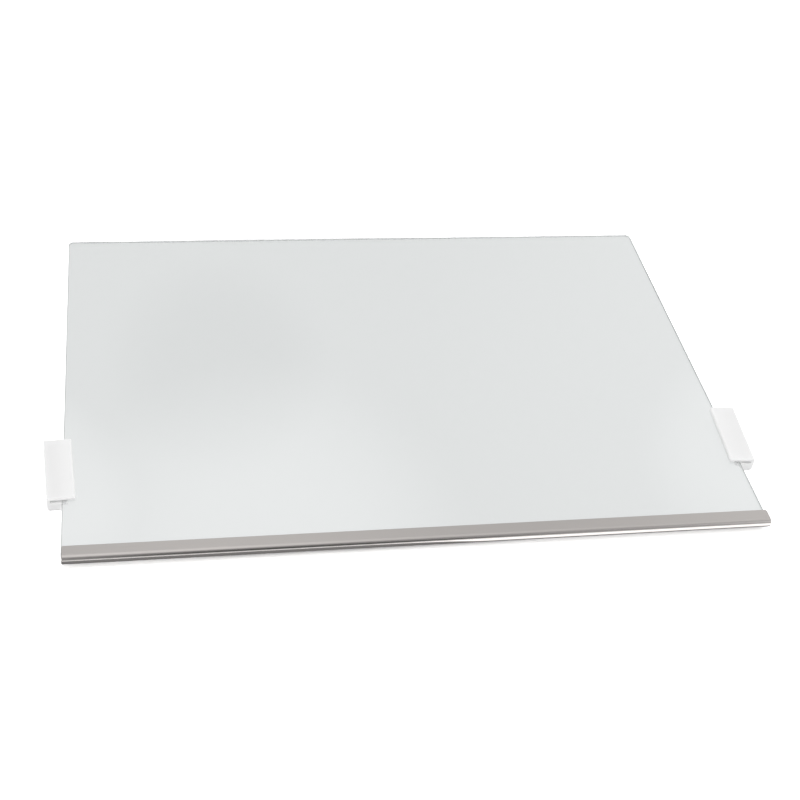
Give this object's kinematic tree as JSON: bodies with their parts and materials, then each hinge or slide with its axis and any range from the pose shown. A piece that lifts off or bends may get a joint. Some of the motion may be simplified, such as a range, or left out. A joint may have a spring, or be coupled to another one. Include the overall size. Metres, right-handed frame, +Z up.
{
  "type": "fridge glass shelf",
  "caption": "Flat tempered glass refrigerator shelf with a round-nosed metal trim along its front edge and a push-on plastic clip on each side edge.",
  "frame": {"origin": "middle of the shelf's width and depth, on the plane that the feet of the clips stand on", "axes": "+X to the right seen from the trimmed front edge, +Y from the front edge to the back edge, +Z up"},
  "size_m": [0.5024, 0.3463, 0.0109],
  "materials": {
    "clear_glass": "clear, with ground edges",
    "trim_metal": "satin top with a bright nose",
    "clip_plastic": "white satin moulding"
  },
  "bodies": {
    "root": {"glass_plate": "clear_glass", "front_trim": "trim_metal", "left_clip": "clip_plastic", "right_clip": "clip_plastic"}
  },
  "joints": []
}
